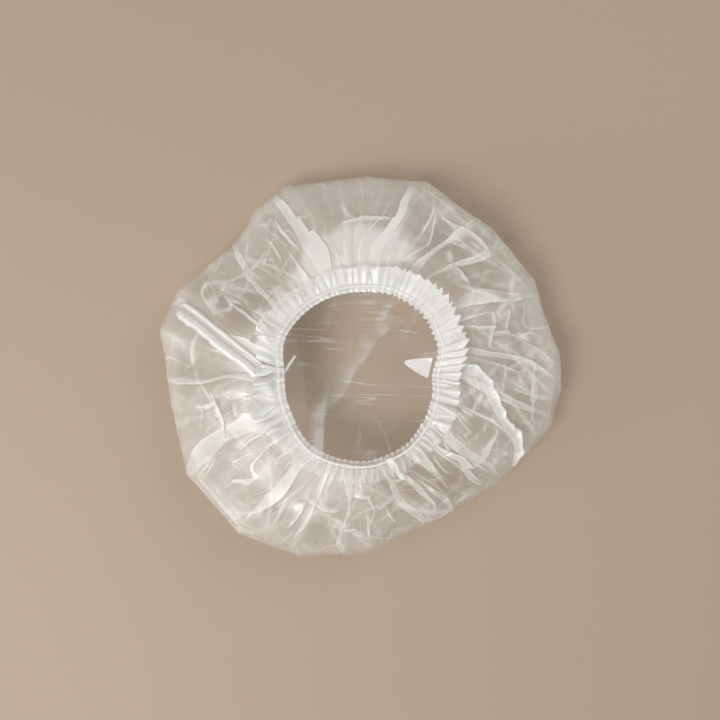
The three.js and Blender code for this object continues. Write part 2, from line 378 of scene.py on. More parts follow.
WELD = 0.2 * MM
SHARP_FROM = np.radians(55)
CLOSED_END = 0.001  # the share of its section that a tube keeps at an end, where it is welded to a point


def surface(name, points, close_around=True, close_across=False, uv=None, values=None, poles=()):
    """A mesh over a (3, rows, columns) array of points, with a quad for each cell of the grid.

    The vertices numbered in poles are welded where they meet.
    """
    _, rows, columns = points.shape
    i, j = np.meshgrid(
        np.arange(rows if close_across else rows - 1),
        np.arange(columns if close_around else columns - 1),
        indexing="ij",
    )
    down, on = (i + 1) % rows, (j + 1) % columns
    quads = np.stack((i * columns + j, i * columns + on, down * columns + on, down * columns + j), -1)
    quads = quads.reshape(-1, 4)
    mesh = bpy.data.meshes.new(name)
    mesh.vertices.add(rows * columns)
    mesh.vertices.foreach_set("co", points.reshape(3, -1).T.astype(np.float32).ravel())
    mesh.loops.add(quads.size)
    mesh.loops.foreach_set("vertex_index", quads.astype(np.int32).ravel())
    mesh.polygons.add(len(quads))
    mesh.polygons.foreach_set("loop_start", np.arange(0, quads.size, 4, dtype=np.int32))
    mesh.polygons.foreach_set("use_smooth", np.ones(len(quads), bool))
    if uv is not None:
        across, around = uv
        corner_rows = np.stack((i, i, i + 1, i + 1), -1).reshape(-1)
        corner_columns = np.stack((j, j + 1, j + 1, j), -1).reshape(-1)
        layer = mesh.uv_layers.new(name="film")
        pair = np.stack((around[corner_columns], across[corner_rows]), -1)
        layer.data.foreach_set("uv", pair.astype(np.float32).ravel())
    for key, value in (values or {}).items():
        layer = mesh.attributes.new(key, "FLOAT", "POINT")
        layer.data.foreach_set("value", value.astype(np.float32).ravel())
    mesh.update(calc_edges=True)
    if len(poles):
        welded = bmesh.new()
        welded.from_mesh(mesh)
        welded.verts.ensure_lookup_table()
        bmesh.ops.remove_doubles(welded, verts=[welded.verts[i] for i in poles], dist=WELD)
        welded.to_mesh(mesh)
        welded.free()
    mesh.validate()
    mesh.set_sharp_from_angle(angle=SHARP_FROM)
    piece = bpy.data.objects.new(name, mesh)
    bpy.context.scene.collection.objects.link(piece)
    return piece


def tube(name, points, values=None):
    """A surface that is closed across, with its first and last columns drawn together into points."""
    _, rows, columns = points.shape
    uv = (np.linspace(0, 1, rows + 1), np.linspace(0, 1, columns))
    ends = (np.arange(rows)[:, None] * columns + (0, columns - 1)).ravel()
    return surface(name, points, close_around=False, close_across=True, uv=uv, values=values, poles=ends)


def finish_piece(piece, material, slot, *nodes):
    """Gives a piece its material and sets it in the frame, in place of the CAD nodes that it stands for."""
    piece.data.materials.append(material)
    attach(piece, "root")
    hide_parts(*nodes)
    return piece


# --- the crown --------------------------------------------------------------------------------------

POLE_SHARE, FLOOR_SHARE = 0.0002, 0.89  # of each ray's reach, where the floor starts and ends
EQUATOR = 17 * MM
RIM_HEIGHT = 57 * MM
TOP_FULLNESS = 0.85  # the power of the sine that the top's height goes by
MEAN_REACHES = (59 * MM, 138 * MM)  # at the rim and at the outline
ARC_STEPS = (400, 200, 800)  # by which the arc is measured on the floor, round the turn and over the top
RING_SPACINGS = (3.4 * MM, 2.2 * MM, 1.45 * MM)  # on these three
SMALL_PLEATS = 90  # less those that a main fold takes the place of
FADING, RUNNING = 0.45, 0.35  # the shares of them that fade near the hem and that run on
MAIN_COLUMNS, SMALL_COLUMNS = 7.0, 2.0  # of film in the turn of a pleat
LEAST_GAP = np.radians(0.4)
SHALLOW_PLEAT = (0.3 * MM, 1.4 * MM)  # from no turn to a whole one
SHALLOW_TUCK = (0.4 * MM, 1.6 * MM)
LONG_SIDE, SHORT_SIDE = 2.2, 0.4  # how far a fold's height runs out beside it, in widths of the fold
TUCK_SPAN = 3  # rings of film in the turn of a tuck
TUCK_SIDE = 4  # rings beside it, at most
TUCK_LEAN = 0.4
FIXED_SHARE = 0.86  # of each ray's reach: the floor's film is flat, and only the rest of it moves
FIXED_RINGS = 3  # under the elastic
LEAST_HEIGHT = 0.2 * MM  # of the film off the ground
BEND_MM, KINK_MM = 4, 1.8  # how far the sides stray in slow bends and in flat kinks
COARSE = ((2, 0.03), (1, 0.015))  # how often the grid is halved for relaxing, and the spare length there
FINE_SPARE = 0.004
LIFT = (0.84, 1.0)  # the shares of each ray's reach from which the film's looks go from floor to side
FLOOR_COVER, SIDE_COVER = 0.09, 0.09  # how milky all the film is, and how much more its sides are

# The facets and creases of crumpled film: their length and depth in millimetres, and the share of them that
# is everywhere and that goes with how crumpled the film is.
CREASES = table("length depth always crumpled", (52, 3.2, 0.2, 0.8), (24, 1.7, 0, 1), (15, 0.3, 0, 0.8))


def meridian():
    """Rings from the middle of the floor, out, up and over to the rim: out, shrink, height and arc of each.

    The turn is a quarter of an ellipse. On the top the height rises with a power of the sine as out falls
    with the cosine. The rings are spread along the arc by the three spacings.
    """
    on_floor, round_turn, over_top = ARC_STEPS
    floor = np.linspace(POLE_SHARE, FLOOR_SHARE, on_floor)
    turn = np.linspace(0, np.pi / 2, round_turn)[1:]
    top = np.linspace(0, np.pi / 2, over_top)[1:]
    out = np.concatenate((np.ones(len(floor) + len(turn)), np.cos(top)))
    shrink = np.concatenate((floor, lerp(FLOOR_SHARE, 1, np.sin(turn)), np.ones(len(top))))
    height = np.concatenate(
        (
            np.zeros(len(floor)),
            EQUATOR * (1 - np.cos(turn)),
            lerp(EQUATOR, RIM_HEIGHT, np.sin(top) ** TOP_FULLNESS),
        )
    )
    radius = lerp(*MEAN_REACHES, out) * shrink
    arc = np.concatenate(((radius[0],), radius[0] + np.cumsum(np.hypot(np.diff(radius), np.diff(height)))))
    spacing = np.repeat(RING_SPACINGS, (len(floor), len(turn), len(top)))
    count = np.concatenate(((0,), np.cumsum(np.diff(arc) / spacing[1:])))
    at = np.linspace(0, count[-1], int(count[-1]) + 1)
    return [np.interp(at, count, values) for values in (out, shrink, height, arc)]


def pleats(rng):
    """The main folds with small pleats between them, in turn round the rim, and their widths going out.

    Nearly half of the small ones fade past the hem; the rest run on, or only start half way.
    """
    slot = 360 / SMALL_PLEATS
    rim = (np.arange(SMALL_PLEATS) + rng.uniform(-0.25, 0.25, SMALL_PLEATS)) * slot
    apart = np.abs((rim[:, None] - FOLDS["rim"][None] + 180) % 360 - 180).min(1)
    rim = rim[apart > 0.55 * slot]
    drift = (FOLDS["edge"] - FOLDS["rim"] + 180) % 360 - 180
    count = len(rim)
    kind = rng.random(count)
    out = WIDTH_STATIONS[:, None]
    fading = smoothstep(out, rng.uniform(0.15, 0.55, count), 0)
    start, end = rng.uniform(-0.3, 0.3, count), rng.uniform(0.6, 1.0, count)
    long = smoothstep(out, start - 0.1, start + 0.3) * smoothstep(out, end, end - 0.35)
    late = smoothstep(out, 0.35, 0.65) * smoothstep(out, end + 0.1, end - 0.2)
    late += 0.5 * smoothstep(out, 0.2, 0)
    share = np.where(kind < FADING, fading, np.where(kind < FADING + RUNNING, long, late))
    swell = np.sin(TURN * (out * rng.uniform(0.6, 1.5, count) + rng.random(count)))
    calm = 1 - np.interp(rim, CRUMPLE["angle"], CRUMPLE["crumpled"], period=360)
    small = share * rng.uniform(1.2, 4.4, count) * (1 + 0.45 * swell)
    small *= 1 - 0.6 * calm * smoothstep(out, 0.1, 0.35)
    main = [
        np.interp(WIDTH_STATIONS, (0, 0.4, 0.84, 1), (*fold, 0.2 * fold[2]))
        for fold in zip(*(FOLDS[key] for key in ("inner", "middle", "outer")))
    ]
    swell = np.sin(TURN * (out * rng.uniform(0.8, 1.6, len(drift)) + rng.random(len(drift))))
    main = np.array(main).T * (1 + 0.35 * swell)
    order = np.argsort(np.concatenate((FOLDS["rim"], rim)))

    def both(of_main, of_small):
        return np.concatenate((of_main, of_small), -1)[..., order]

    turned = np.interp(rim, FOLDS["rim"], drift, period=360) + rng.uniform(-5, 5, count) * (kind > FADING)
    return {
        "rim": both(FOLDS["rim"], rim),
        "turned": both(drift, turned),
        "widths": both(main, small),
        "lay": both(FOLDS["lay"], rng.choice((-1.0, 1.0), count)),
        "lean": both(FOLDS["lean"], rng.uniform(0.3, 0.6, count)),
        "white": both(FOLDS["white"], rng.uniform(0, 0.25, count)),
        "columns": both(np.full(len(drift), MAIN_COLUMNS), np.full(count, SMALL_COLUMNS)),
        "wander": rng.uniform(-2.5, 2.5, (len(WANDER_STATIONS), len(order))) * WANDER_SHARES[:, None],
    }


def pleat_columns(every, columns):
    """The film columns at which each pleat turns back and forward again, the same at every ring.

    The columns between two pleats go by how far apart these are at the rim and at the outline together.
    """
    back = every["columns"]
    angles = np.array((every["rim"], every["rim"] + every["turned"]))
    step = np.maximum((np.roll(angles, -1, 1) - angles + 180) % 360 - 180, 0).sum(0)
    spare = columns - back.sum() - 2 * len(back)
    forward = 2 + spare * step / step.sum()
    first = np.concatenate(((0,), np.cumsum(back + forward)[:-1])) + forward[-1] / 2
    first = np.round(first)
    return first, first + back


def between(at, knots, values):
    """Straight-line interpolation at all points of "at", with its own knots and values in each column."""
    result = values[0] + 0 * at
    for low, high, start, end in zip(knots[:-1], knots[1:], values[:-1], values[1:]):
        result = result + (end - start) * np.clip((at - low) / np.maximum(high - low, 1e-6), 0, 1)
    return result


def fold_heights(back, lay, lean):
    """The height of a fold's two turns: the layer on top stands over the turn that it covers."""
    tall = lean * back
    return np.where(lay > 0, 0.45 * tall, tall), np.where(lay > 0, tall, 0.45 * tall)


def spaced(asked, least):
    """The angles nearest to the asked ones, in their order round the circle, that keep the least steps.

    With the sum of the steps before it taken off, an angle may only rise from one to the next. So each is
    the largest, over all starts up to it, of the smallest mean from that start to any end past it.
    """
    count = len(asked)
    turns = np.concatenate([asked + TURN * turn for turn in (-1, 0, 1)])
    before = np.cumsum(np.tile(least, 3)) - np.tile(least, 3)
    total = np.concatenate(((0,), np.cumsum(turns - before)))
    start, end = np.indices((3 * count, 3 * count))
    mean = np.where(end < start, np.inf, (total[end + 1] - total[start]) / np.maximum(end - start + 1, 1))
    smallest = np.minimum.accumulate(mean[:, ::-1], axis=1)[:, ::-1]
    best = np.where(end < start, -np.inf, smallest).max(0)
    return (best + before)[count : 2 * count]


def round_ring(columns, knots, values, rise=0):
    """Straight-line interpolation at each column of a ring that is closed around.

    Each knot and its value are an array over the pleats; rise is how much the value gains in a turn.
    """
    turns = np.array((-1, 0, 1))[:, None, None]
    at = np.stack(knots, 1) + columns * turns
    risen = np.stack(values, 1) + rise * turns
    return np.interp(np.arange(columns), at.ravel(), risen.ravel())


def lay_pleats(every, out, floor, shape, marks, columns):
    """One ring of film: each column's angle, height off the bag, whitening, and clearness by a hidden turn.

    At each pleat the angle runs back by the pleat's width and forward again. floor goes from 0 on the
    floor to 1 on the sides. Where a pleat has no width its columns run on with the rest.
    """
    back = np.array([np.interp(out, WIDTH_STATIONS, widths) for widths in every["widths"].T]) * MM
    back = back * floor
    folded = smoothstep(back, *SHALLOW_PLEAT)
    sway = np.array([np.interp(out, WANDER_STATIONS, turns) for turns in every["wander"].T])
    first, last = marks
    plain = (last - first) / columns * TURN
    least = (plain + np.roll(plain, -1)) / 2 + LEAST_GAP
    crest = spaced(np.radians(every["rim"] + every["turned"] * out + sway), least)
    reach = lerp(-plain, back * TURN / shape, folded) / 2
    phi = round_ring(columns, (first, last), (crest + reach, crest - reach), TURN)
    after = np.roll(first, -1) - last
    after[-1] += columns
    run = (np.roll(crest - reach, -1) - (crest + reach)) % TURN * shape / TURN
    pitch = np.maximum(run, 1 * MM) / after
    long_side, short_side = LONG_SIDE * back / pitch, SHORT_SIDE * back / pitch
    room, room_before = 0.49 * after, 0.49 * np.roll(after, 1)
    ahead = np.minimum(np.where(every["lay"] > 0, long_side, short_side) + 0.5, room)
    behind = np.minimum(np.where(every["lay"] < 0, long_side, short_side) + 0.5, room_before)
    low_turn, high_turn = fold_heights(back * folded, every["lay"], every["lean"])
    zero = 0 * back
    knots = (first - behind, first, last, last + ahead)
    stand = round_ring(columns, knots, (zero, low_turn, high_turn, zero))
    to_last = np.where(every["lay"] > 0, 1.3, 0.7)
    white = folded * every["white"]
    knots = (first - 0.5, first, last, last + 0.5)
    whitened = round_ring(columns, knots, (zero, (2 - to_last) * white, to_last * white, zero))
    on_top = every["lay"] > 0
    low = np.where(on_top, first, last)
    side = 1.2 * back / pitch + 1
    before = np.where(on_top, np.minimum(side, room_before), last - first)
    beyond = np.where(on_top, last - first, np.minimum(side, room))
    clear = round_ring(columns, (low - before, low, low + beyond), (zero, folded, zero))
    return phi, stand, whitened, clear


def track_folds(rng, track, angle):
    """The width, slant and lay of the folds on a track at each angle: its own ones and a few stray ones."""
    width, slant, lay = 0 * angle, 0 * angle, 1 + 0 * angle
    stray = rng.uniform(-1, 1, (5, STRAY_TUCKS))
    own = np.array(list(TUCKS.values()))[1:, TUCKS["track"] == track]
    others = np.stack(
        (
            (np.arange(STRAY_TUCKS) + 0.4 * stray[0]) * 360 / STRAY_TUCKS,
            6 + 3.5 * stray[1],
            5 * stray[2],
            (1.9 + 1.1 * stray[3]) * (track > 0),
            np.sign(stray[4]),
        )
    )
    for middle, span, lean, wide, way in np.concatenate((own, others), 1).T:
        along = ((angle - middle + 180) % 360 - 180) / span
        bump = np.clip(1 - np.abs(along), 0, 1)
        stronger = bump * wide > width
        width = np.where(stronger, bump * wide, width)
        slant = np.where(stronger, lean * along * bump, slant)
        lay = np.where(stronger, way, lay)
    return width * MM, slant * MM, lay


def lay_tucks(rng, phi, out, arc):
    """Each point's place along its meridian, its height, and its clearness, with folds across the film.

    At each track the film runs on past the fold, back by its width, and on again, as the pleats do.
    """
    rows, columns = phi.shape
    row = np.arange(rows)[:, None] + np.zeros(columns)
    knots, places = [row[0]], [arc[0] + 0 * row[0]]
    knot_rows, heights, clear = [row[0]], [0 * row[0]], 0 * row
    for track, share in enumerate(TRACKS):
        first = int(np.argmin(np.abs(out - share))) - 1
        last = first + TUCK_SPAN
        width, slant, lay = track_folds(rng, track, np.degrees(phi[first]))
        folded = smoothstep(width, *SHALLOW_TUCK)
        middle = (arc[first] + arc[last]) / 2 + slant
        knots += [row[0] + first, row[0] + last]
        places.append(lerp(arc[first], middle + width / 2, folded))
        places.append(lerp(arc[last], middle - width / 2, folded))
        low_turn, high_turn = fold_heights(width * folded, lay, TUCK_LEAN)
        pitch = arc[first] - arc[first - 1]
        behind = np.minimum(np.where(lay < 0, LONG_SIDE, SHORT_SIDE) * width / pitch + 0.5, TUCK_SIDE)
        ahead = np.minimum(np.where(lay > 0, LONG_SIDE, SHORT_SIDE) * width / pitch + 0.5, TUCK_SIDE)
        knot_rows += [row[0] + first - behind, row[0] + first, row[0] + last, row[0] + last + ahead]
        heights += [0 * width, low_turn, high_turn, 0 * width]
        low = row[0] + np.where(lay > 0, first, last)
        side = np.minimum(width / pitch + 1, TUCK_SIDE)
        before = np.where(lay > 0, side, last - first)
        beyond = np.where(lay > 0, last - first, side)
        hidden = between(row, (low - before, low, low + beyond), (0 * low, folded, 0 * low))
        clear = np.maximum(clear, hidden)
    knots.append(row[0] + rows - 1)
    places.append(arc[-1] + 0 * row[0])
    knot_rows.append(row[0] + rows - 1)
    heights.append(0 * row[0])
    return between(row, knots, places), between(row, knot_rows, heights), clear


def blur(grid, times):
    """Each point moved to the weighted mean of itself and its neighbours, again and again."""
    grid = grid.copy()
    for _ in range(times):
        grid = grid / 2 + (np.roll(grid, 1, -1) + np.roll(grid, -1, -1)) / 4
        grid[..., 1:-1, :] = grid[..., 1:-1, :] / 2 + (grid[..., 2:, :] + grid[..., :-2, :]) / 4
    return grid


def finer(grid):
    """A grid that is closed around, with twice the columns and a row between each two."""
    _, rows, columns = grid.shape
    fine = np.empty((3, rows * 2 - 1, columns * 2))
    fine[:, ::2, ::2] = grid
    fine[:, 1::2, ::2] = (grid[:, 1:] + grid[:, :-1]) / 2
    fine[:, :, 1::2] = (fine[:, :, ::2] + np.roll(fine[:, :, ::2], -1, 2)) / 2
    return blur(fine, 1)


def waves(rng, points, length, count=24):
    """A smooth random field over space: sine waves of about this length, added up in all directions."""
    direction = rng.normal(size=(count, 3))
    direction /= np.linalg.norm(direction, axis=1, keepdims=True)
    k = direction * (TURN / (length * rng.uniform(0.7, 1.4, count)))[:, None]
    phase = rng.uniform(0, TURN, count)
    field = np.zeros(points.shape[1:])
    for (kx, ky, kz), start in zip(k, phase):
        field += np.sin(kx * points[0] + ky * points[1] + kz * points[2] + start)
    return field / np.sqrt(count)


def facets(rng, points, length, count=5):
    """Flat facets between straight creases: triangle waves added up in level directions.

    The second array is the creases, lines of about a millimetre that show in patches, each in its own.
    """
    wander = waves(rng, points, 4 * length, 8) * 0.25
    field, lines = np.zeros((2, *points.shape[1:]))
    turns = rng.uniform(0, TURN, count)
    pitches = length * rng.uniform(0.7, 1.5, count)
    for turn, pitch, phase in zip(turns, pitches, rng.random(count)):
        along = points[0] * np.cos(turn) + points[1] * np.sin(turn) + 0.5 * points[2]
        x = along / pitch + phase + wander
        triangle = np.abs(x - np.floor(x + 0.5))
        field += 4 * triangle - 1
        patch = smoothstep(waves(rng, points, 2.5 * length, 6), -0.2, 0.6)
        lines = np.maximum(lines, smoothstep((0.5 - triangle) * pitch, 1.7 * MM, 0) * patch)
    return field / np.sqrt(count), lines


def normals(points):
    """Unit normals of a grid that is closed around, pointing out of the bag."""
    along = np.gradient(points, axis=1)
    around = np.roll(points, -1, 2) - np.roll(points, 1, 2)
    n = np.cross(around, along, axis=0)
    return n / np.maximum(np.linalg.norm(n, axis=0), 1e-12)


def pull(points, free, down, on, rest, stiff, slack):
    """Moves each pair of points (down, on) cells apart towards its rest length, all pairs at once.

    A stretched pair is drawn in by the share stiff, a short one is pushed apart by the share slack.
    """
    rows = points.shape[1] - down
    first = points[:, :rows]
    second = np.roll(points[:, down:], -on, 2)
    apart = second - first
    length = np.sqrt((apart * apart).sum(0)) + 1e-9
    move = (1 - rest / length) * 0.35
    move *= np.where(move > 0, stiff, slack)
    apart *= move
    points[:, :rows] += apart * free[:rows]
    points[:, down:] -= np.roll(apart, on, 2) * free[down:]


def neighbours_mean(points):
    """The mean of each point's neighbours; the first and last rows have only those in the row."""
    middle = (np.roll(points, 1, 2) + np.roll(points, -1, 2)) / 2
    middle[:, 1:-1] = (middle[:, 1:-1] + (points[:, :-2] + points[:, 2:]) / 2) / 2
    return middle


def relaxed(start, free, spare, steps, hold=0.008, bend=0.06):
    """A sheet relaxed with some spare length everywhere, while it is held softly to its start.

    Every third step also draws its curvature back to the start's.
    """
    points = start.copy()

    ties = []
    for down, on, stiff in ((1, 0, 1.0), (0, 1, 1.0), (1, 1, 0.6), (1, -1, 0.6)):
        rows = start.shape[1] - down
        apart = np.linalg.norm(np.roll(start[:, down:], -on, 2) - start[:, :rows], axis=0)
        ties.append((down, on, apart * (1 + spare[:rows]), stiff))
    for step in range(steps):
        for down, on, rest, stiff in ties:
            pull(points, free, down, on, rest, stiff, 0.8 * stiff)
        if step % 3 == 0:
            points += ((neighbours_mean(points) - points) - (neighbours_mean(start) - start)) * bend * free
        points += (start - points) * hold * free
    return points


def crest_strength(points):
    """How sharply the film turns at each point, from 0 on a panel to 1 on a crease."""
    around = np.roll(points, 1, 2) + np.roll(points, -1, 2) - 2 * points
    along = np.zeros_like(points)
    along[:, 1:-1] = points[:, 2:] + points[:, :-2] - 2 * points[:, 1:-1]
    size = np.maximum(np.linalg.norm(np.roll(points, -1, 2) - points, axis=0), 0.8 * MM)
    sharp = np.linalg.norm(around, axis=0) / size + np.linalg.norm(along, axis=0) / size
    return blur(np.clip(sharp / 1.6, 0, 1), 1)


def floor_milk(rng, points):
    """How milky the film on the floor is: ragged bands, crisp right of their runs and fading leftwards."""
    milk = np.zeros(points.shape[1:])
    ragged = waves(rng, points, 22 * MM, 12) * 1.5 * MM
    for x, y, to_x, to_y, half, strength in zip(*BANDS.values()):
        start, run = np.array((x, y)) * MM, np.array((to_x - x, to_y - y)) * MM
        length = np.hypot(*run)
        ahead = run / length
        away = points[:2] - start[:, None, None]
        along = (away * ahead[:, None, None]).sum(0) / length
        aside = away[1] * ahead[0] - away[0] * ahead[1] + ragged
        ends = smoothstep(along, -0.12, 0.15) * smoothstep(along, 1.12, 0.85)
        right = smoothstep(aside, -half * MM, -0.75 * half * MM)
        left = smoothstep(aside, half * MM, -0.6 * half * MM)
        milk = np.maximum(milk, strength * ends * (right * left))
    return milk * (1 + 0.35 * waves(rng, points, 14 * MM, 10))


def laid_film(rng, columns):
    """The film laid on the bag in pleats and tucks, the way out of the bag, and how each point lies."""
    out, shrink, height, arc = meridian()
    every = pleats(rng)
    marks = pleat_columns(every, columns)
    even = (np.arange(columns) + 0.5) / columns * TURN
    smooth = bag_point(even[None] + 0 * out[:, None], out[:, None], shrink[:, None], height[:, None])
    shape = np.linalg.norm(np.roll(smooth, -1, 2) - smooth, axis=0).sum(1)
    floor = smoothstep(shrink, FIXED_SHARE, 0.99)
    laid = [lay_pleats(every, *ring, marks, columns) for ring in zip(out, floor, shape)]
    phi, stand, whitened, clear = np.array(laid).transpose(1, 0, 2)
    place, tucked, clear_across = lay_tucks(rng, phi, out, arc)
    out, shrink, height = (np.interp(place, arc, values) for values in (out, shrink, height))
    points = bag_point(phi, out, shrink, height)
    column = (phi % TURN / TURN * columns).astype(int) % columns
    outwards = np.array([np.take_along_axis(axis, column, 1) for axis in normals(smooth)])
    points += outwards * (stand + tucked) * lerp(0.25, 1, smoothstep(out, 1.0, 0.82))
    clear = np.maximum(clear, clear_across)
    lie = {"phi": phi, "out": out, "shrink": shrink, "whitened": whitened, "clear": clear}
    return points, outwards, arc, lie


def crumple(rng, points, outwards, lie, free):
    """Bends and creases the laid film, and returns how crumpled it is and the strength of its creases."""
    phi, out, shrink = lie["phi"], lie["out"], lie["shrink"]
    bent = np.array([waves(rng, points, 130 * MM, 10) for _ in range(2)]) * BEND_MM * MM
    kinked = np.array([blur(facets(rng, points, 60 * MM)[0], 3) for _ in range(2)]) * KINK_MM * MM
    sides = smoothstep(out, 0.02, 0.35) * smoothstep(shrink, 0.8, 1) * smoothstep(out, 1.0, 0.72)
    points[:2] += (bent + kinked) * sides
    crumpled = eased(CRUMPLE, "crumpled", phi) * smoothstep(out, 0.0, 0.3) * free
    crumpled *= smoothstep(waves(rng, points, 90 * MM, 8), -1.0, 0.6)
    lines = np.zeros(points.shape[1:])
    for length, depth, always, more in zip(*CREASES.values()):
        share = always + more * crumpled
        field, creases = facets(rng, points, length * MM, 3)
        lines = np.maximum(lines, creases * share)
        share = share * free * lerp(0.3, 1, smoothstep(out, 1.0, 0.86))
        points += outwards * blur(field, 3) * depth * MM * share
    return crumpled, lines


def relaxed_in_turn(points, free, crumpled, steps):
    """The film relaxed on coarse grids first, whose moves are passed on to the finer ones, then in full."""
    for level, spare in COARSE:
        skip = 2**level
        rows = (points.shape[1] - 1) // skip * skip + 1
        coarse = blur(points, 4 * level)[:, :rows:skip, ::skip]
        moved = relaxed(coarse, free[:rows:skip, ::skip], spare * crumpled[:rows:skip, ::skip], steps)
        change = moved - coarse
        for _ in range(level):
            change = finer(change)
        points[:, :rows] += change
    points = relaxed(points, free, FINE_SPARE * crumpled, steps // 4)
    np.maximum(points[2], LEAST_HEIGHT, out=points[2])
    return points


def milkiness(rng, points, lines, phi, out, shrink, whitened, clear):
    """What the film's material reads at each point: its cover, whether it lies on the floor, and creases.

    The sides are whitened by the gathers at the hem, at creases and folds, and clear over hidden turns.
    Where the film turns sharply, that whitening is partly stress whitening and partly a painted highlight.
    """
    lifted = smoothstep(shrink, *LIFT)
    reach = eased(WHITENED, "reach", phi) * (1 + 0.3 * waves(rng, points, 40 * MM, 12))
    fan = np.array((3 * rim_radius(phi) * phi, 12 * MM * out, 0 * out))
    gathered = eased(WHITENED, "amount", phi) * smoothstep(out, reach, 0.6 * reach) * lifted
    gathered *= 1 + 0.3 * waves(rng, fan, 16 * MM, 16)
    crest = crest_strength(points)
    cover = FLOOR_COVER + lifted * (SIDE_COVER + eased(CRUMPLE, "milky", phi))
    cover += 0.04 * waves(rng, points, 40 * MM, 12)
    cover += 0.05 * lifted * waves(rng, points, 110 * MM, 8)
    cover *= 1 - 0.75 * clear
    # The crest terms are partly the film's stress whitening at sharp turns and partly a painted highlight
    # along fold edges.
    cover += lifted * (0.3 * crest + 0.25 * blur(crest, 12) + 0.7 * lines) + 0.8 * gathered
    whitened = whitened * (0.8 + 0.45 * waves(rng, points, 24 * MM, 14)).clip(0.1, 1.5)
    cover += floor_milk(rng, points) * (1 - lifted) + whitened * lifted
    return {"cover": np.clip(cover, 0.05, 0.9), "lying": 1 - lifted, "crease": lines * lifted}


def crown_points(columns, steps):
    """The crown's film: laid in pleats round the bag, creased, then relaxed coarse to fine."""
    rng = np.random.default_rng(7)
    points, outwards, arc, lie = laid_film(rng, columns)
    free = np.ones(points.shape[1:])
    free[-FIXED_RINGS:] = 0
    free[lie["shrink"] < FIXED_SHARE] = 0
    crumpled, lines = crumple(rng, points, outwards, lie, free)
    points = relaxed_in_turn(points, free, crumpled, steps)
    return points, arc, milkiness(rng, points, lines, **lie)


# --- the hem, elastic, seams and tabs ---------------------------------------------------------------

CORD_OFFSET = 1.4  # of the elastic, in millimetres outwards from the crown's edge
CORD_RADIUS, CORD_SWELL = 0.68, 0.1  # in millimetres, at a stitch and how much more between two
ELASTIC_HEIGHT = 58.5 * MM
ELASTIC_SIDES = 12
HEM_HEIGHT = 59.6 * MM
HEM_RADIUS = 62 * MM
HEM_PLEATS = 88
HEM_ROWS = 41
FRILL_FROM = 3  # the offset from which the frill's own width counts
SEAM_STEPS = 160
LOBES = (0.8, 0.5, 0.3)  # of a seam's wobble, from long waves to short ones
TAB_STEPS, TAB_SIDES = 28, 24
TAB_HEIGHT = 58.6 * MM
BOXY = 0.4  # the power of the cosine and sine that squares a tab's section


def rim_point(phi, offset, height):
    """A point beside the rim: its offset runs outwards from the crown's edge."""
    radius = rim_radius(phi) + offset
    middle = RIM_MIDDLE + SHIFT
    x, y = middle[0] + radius * np.cos(phi), middle[1] + radius * np.sin(phi)
    return np.array(np.broadcast_arrays(x, y, height + 0 * radius))


def along_rows(rows, key, steps):
    """A section's column at evenly spread steps from its first row to its last."""
    at = np.linspace(0, len(rows[key]) - 1, steps)
    return np.interp(at, np.arange(len(rows[key])), rows[key])


